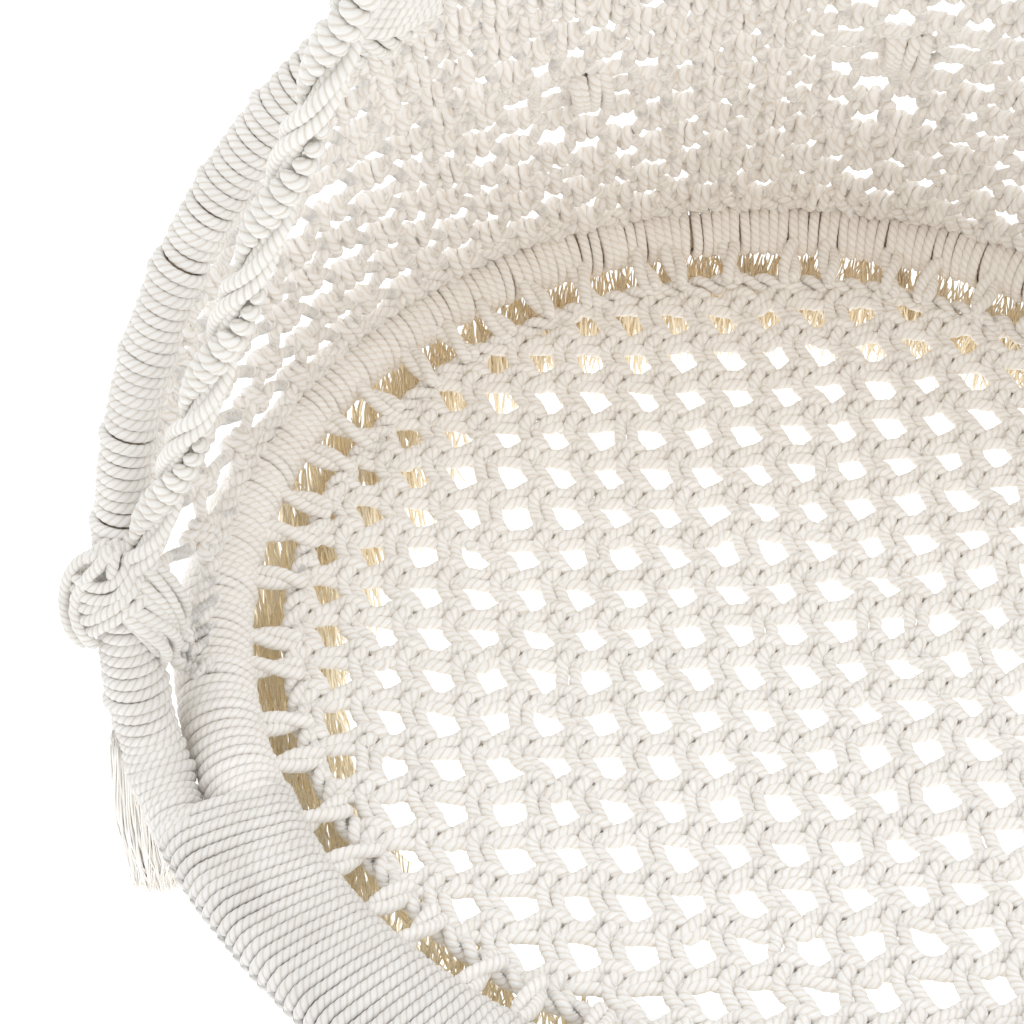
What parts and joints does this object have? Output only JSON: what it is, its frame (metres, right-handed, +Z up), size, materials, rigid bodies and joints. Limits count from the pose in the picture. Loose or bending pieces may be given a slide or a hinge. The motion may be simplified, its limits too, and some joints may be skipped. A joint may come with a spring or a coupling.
{
  "type": "hanging hoop chair",
  "caption": "Hanging chair with a netted round seat hoop lashed to a bent back hoop, covered in knotted cotton rope and hung from a ring and spring-gate carabiner.",
  "frame": {"origin": "inside top of the carabiner, where it rests on the hook that holds the chair", "axes": "+Z up, -Y towards the open front of the seat, +Y towards the back panel, X across the seat"},
  "size_m": [0.721, 0.6639, 1.3137],
  "materials": {
    "carabiner_steel": "satin",
    "gate_steel": "satin",
    "pin_steel": "satin",
    "spring_steel": "satin",
    "ring_steel": "satin",
    "hoop_steel": "satin",
    "top_rope": "matte",
    "wrap_rope": "matte",
    "net_rope": "matte",
    "hanging_rope": "matte",
    "fringe_yarn": "matte"
  },
  "bodies": {
    "carabiner": {"carabiner_body": "carabiner_steel", "gate_pin": "pin_steel"},
    "gate": {"carabiner_gate": "gate_steel", "gate_spring": "spring_steel"},
    "ring": {"hanging_ring": "ring_steel"},
    "chair": {"seat_hoop": "hoop_steel", "back_hoop": "hoop_steel", "rope_eye": "top_rope", "rope_collar": "top_rope", "seat_hoop_wrap": "wrap_rope", "back_hoop_wrap_left": "wrap_rope", "back_hoop_wrap_right": "wrap_rope", "front_lashing": "wrap_rope", "seat_net": "net_rope", "back_panel": "net_rope", "front_rope_left": "hanging_rope", "front_rope_right": "hanging_rope", "rear_rope_left": "hanging_rope", "rear_rope_right": "hanging_rope", "front_hitch_left": "hanging_rope", "front_hitch_right": "hanging_rope", "rear_hitch_left": "hanging_rope", "rear_hitch_right": "hanging_rope", "fringe_front": "fringe_yarn", "fringe_left": "fringe_yarn", "fringe_rear": "fringe_yarn", "fringe_right": "fringe_yarn", "corner_tassel_left": "fringe_yarn", "corner_tassel_right": "fringe_yarn"}
  },
  "joints": [
    {"name": "gate_hinge", "type": "hinge", "parent": "carabiner", "child": "gate", "pos_m": [0, 0.017, -0.0388], "axis": [1, 0, 0], "range_deg": [0, 28], "stiffness_Nm_per_rad": 0.05, "springref_deg": -28.65},
    {"name": "sway", "type": "hinge", "parent": "carabiner", "child": "ring", "pos_m": [0, 0, -0.068], "axis": [0, 1, 0], "range_deg": [-15, 15]},
    {"name": "swing", "type": "hinge", "parent": "ring", "child": "chair", "pos_m": [0, 0, -0.1217], "axis": [1, 0, 0], "range_deg": [-25, 25]}
  ]
}
